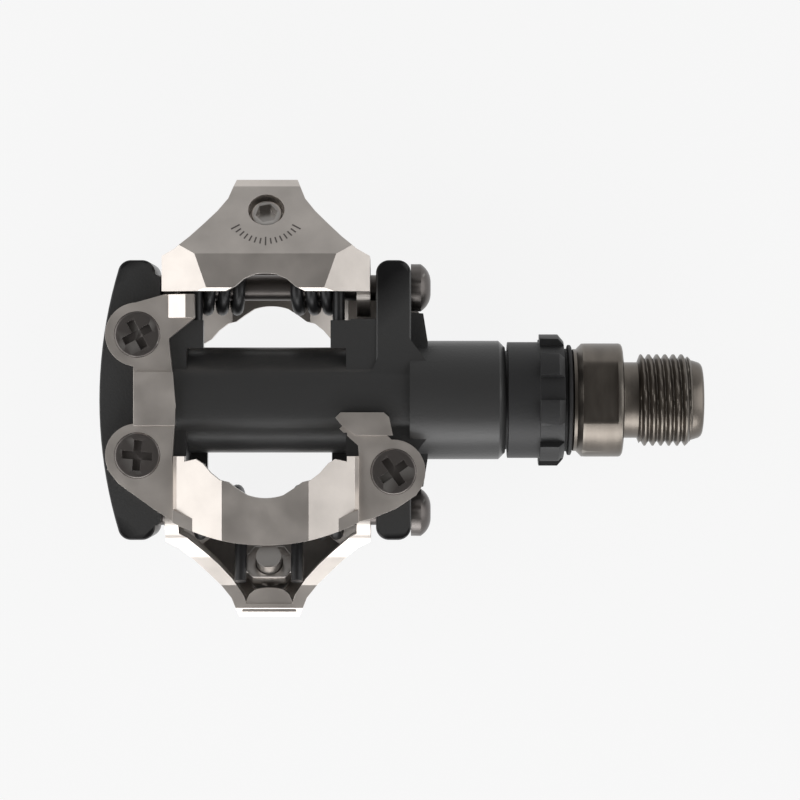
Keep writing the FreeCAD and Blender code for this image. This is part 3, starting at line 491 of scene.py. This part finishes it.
def spring_path(side, sign):
    """Centre line: straight inner leg from its free end, coil, then a short outer tail."""
    inner_x, outer_x = CLAW_X + side * COIL_INNER, CLAW_X + side * COIL_OUTER
    start = math.pi / 2 - LEG_DIP
    sweep = COIL_TURNS * 2 * math.pi + LEG_DIP
    # the leg leaves the coil as a tangent
    tangent_y = COIL_Y + COIL_R * math.cos(start)
    tangent_z = COIL_R * math.sin(start)
    leg = (LEG_END_Y - tangent_y) / math.cos(LEG_DIP)
    points = []
    for k in range(LEG_STEPS):
        along = leg * (1 - k / LEG_STEPS)
        points.append((inner_x, tangent_y + math.cos(LEG_DIP) * along,
                       tangent_z - math.sin(LEG_DIP) * along))
    for k in range(COIL_STEPS + 1):
        f = k / COIL_STEPS
        angle = start + sweep * f
        points.append((inner_x + (outer_x - inner_x) * eased(f),
                       COIL_Y + COIL_R * math.cos(angle), COIL_R * math.sin(angle)))
    for k in range(1, TAIL_STEPS + 1):
        points.append((outer_x, COIL_Y - TAIL_LENGTH * k / TAIL_STEPS, COIL_R))
    return [Vector((x, sign * y, sign * z)) for x, y, z in points]


def build_spring(face, sign, side, side_name):
    """The coil follows the claw; the inner leg also gives way under the nut."""
    claw, nut = "rear_claw_" + face, "tension_nut_" + face
    path = spring_path(side, sign)
    split = sum(1 for p in path[:LEG_STEPS] if abs(p.y) >= SPLIT_Y)
    coil = tube(f"torsion_spring_{side_name}_{face}", path[split - 1:], WIRE_R)
    leg = tube(f"torsion_spring_leg_{side_name}_{face}", path[:split + 1], LEG_WIRE_R)
    pivot, coil_end, leg_end = [
        (CLAW_X * MM, sign * y * MM, 0) for y in (COIL_Y, COIL_BLEND_END_Y, LEG_BLEND_END_Y)]
    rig.blend(coil, "pedal", claw, start=pivot, end=coil_end)
    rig.blend(leg, claw, nut, start=coil_end, end=leg_end)
    for obj in (coil, leg):
        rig.replaces(obj, f"spring_{side_name}_{face}")
        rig.slot(obj, "spring_black")


for face, sign in FACES:
    for side, side_name in ((-1, "outboard"), (1, "inboard")):
        build_spring(face, sign, side, side_name)


# ------------------------------------------------------------------ tick scale on the claws
TICK_MATERIAL = material("tick_line", base=(0.10, 0.09, 0.085), metallic=0.6, rough=0.45)
TICK_COUNT = 15
LONG_TICK_EVERY = 7
TICK_LENGTH, LONG_TICK_LENGTH = 1.0, 1.5
TICK_WIDTH, TICK_HEIGHT, TICK_SINK = 0.22, 0.1, 0.06
SCALE_R = 5.5
SCALE_START, SCALE_SWEEP = -148, 116  # degrees
SCALE_CENTRE = Vector((CLAW_X, 29.0, 8.93))
# the scale's plane leans 30 degrees, so that its normal tips from Z towards Y
SCALE_NORMAL = Vector((0, 0.5, math.sqrt(3) / 2))
SCALE_X = Vector((1, 0, 0))
SCALE_Y = Vector((0, math.sqrt(3) / 2, -0.5))


def add_tick(bm, k, sign):
    """One raised bar, pointing out from the scale's centre."""
    angle = math.radians(SCALE_START + SCALE_SWEEP * k / (TICK_COUNT - 1))
    outward = SCALE_X * math.cos(angle) + SCALE_Y * math.sin(angle)
    across = SCALE_X * -math.sin(angle) + SCALE_Y * math.cos(angle)
    centre = SCALE_CENTRE + outward * SCALE_R + SCALE_NORMAL * -TICK_SINK
    length = TICK_LENGTH if k % LONG_TICK_EVERY else LONG_TICK_LENGTH
    verts = []
    for height in (0, TICK_HEIGHT):
        for i, j in ((-1, -1), (1, -1), (1, 1), (-1, 1)):
            p = (centre + outward * (i * length / 2) + across * (j * TICK_WIDTH / 2)
                 + SCALE_NORMAL * height)
            verts.append(bm.verts.new((p.x * MM, sign * p.y * MM, sign * p.z * MM)))
    for corners in ((0, 1, 2, 3), (4, 5, 6, 7), (0, 1, 5, 4), (1, 2, 6, 5), (2, 3, 7, 6),
                    (3, 0, 4, 7)):
        bm.faces.new([verts[i] for i in corners])


for face, sign in FACES:
    bm = bmesh.new()
    for k in range(TICK_COUNT):
        add_tick(bm, k, sign)
    ticks = finish_mesh("tension_scale_" + face, bm, TICK_MATERIAL, sharp_angle=20)
    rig.ride(ticks, "rear_claw_" + face)
    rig.slot(ticks, "claw_steel")


# ------------------------------------------------------------------ floor, world, lights, camera
scene = bpy.context.scene
LIGHT_TARGET = Vector((-0.04, 0, 0))


def build_floor():
    mat = bpy.data.materials.new("floor_pale")
    mat.use_nodes = True
    surface = mat.node_tree.nodes["Principled BSDF"].inputs
    surface["Base Color"].default_value = (0.05, 0.05, 0.05, 1)
    surface["Roughness"].default_value = 0.9
    surface["Specular IOR Level"].default_value = 0.0
    surface["Emission Color"].default_value = (1, 1, 1, 1)
    surface["Emission Strength"].default_value = 0.875
    bpy.ops.mesh.primitive_plane_add(size=6, location=(0, 0, -0.0150))
    floor = bpy.context.object
    floor.name = "floor"
    floor.data.materials.append(mat)
    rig.stage(floor)


def build_world():
    """Grey gradient, bright below and dark overhead."""
    world = bpy.data.worlds.new("studio")
    scene.world = world
    world.use_nodes = True
    nodes, link = world.node_tree.nodes, world.node_tree.links.new
    background = nodes["Background"]
    coord = nodes.new("ShaderNodeTexCoord")
    split = nodes.new("ShaderNodeSeparateXYZ")
    ramp = nodes.new("ShaderNodeValToRGB")
    link(coord.outputs["Generated"], split.inputs["Vector"])
    link(split.outputs["Z"], ramp.inputs["Fac"])
    link(ramp.outputs["Color"], background.inputs["Color"])
    stops = ramp.color_ramp.elements
    stops[0].color = (0.85, 0.85, 0.85, 1)
    stops[1].color = (0.115, 0.111, 0.107, 1)
    stops.new(0.55).color = (0.42, 0.42, 0.42, 1)
    background.inputs["Strength"].default_value = 1.0


def area(name, location, size, power):
    light = bpy.data.lights.new(name, "AREA")
    light.shape = "RECTANGLE"
    light.size, light.size_y = size
    light.energy = power
    obj = bpy.data.objects.new(name, light)
    scene.collection.objects.link(obj)
    obj.location = location
    aim = LIGHT_TARGET - Vector(location)
    obj.rotation_euler = aim.to_track_quat("-Z", "Y").to_euler()


def build_camera():
    """Looks straight down on the pedal."""
    data = bpy.data.cameras.new("camera")
    data.sensor_width = 36
    data.lens = 150
    data.clip_start = 0.01
    camera = bpy.data.objects.new("camera", data)
    scene.collection.objects.link(camera)
    camera.location = (-0.0345, 0.0, 0.52)
    scene.camera = camera


build_floor()
build_world()
area("key_left", location=(-0.62, -0.10, 0.34), size=(0.9, 0.9), power=4.6)
area("fill_front", location=(0.0, -0.60, 0.12), size=(0.9, 0.24), power=2.6)
area("fill_high", location=(0.02, -0.62, 0.36), size=(0.7, 0.35), power=2.0)
area("rim_right", location=(0.58, 0.05, 0.36), size=(0.7, 0.8), power=2.6)
build_camera()
scene.view_settings.view_transform = "Standard"

write_size("a")
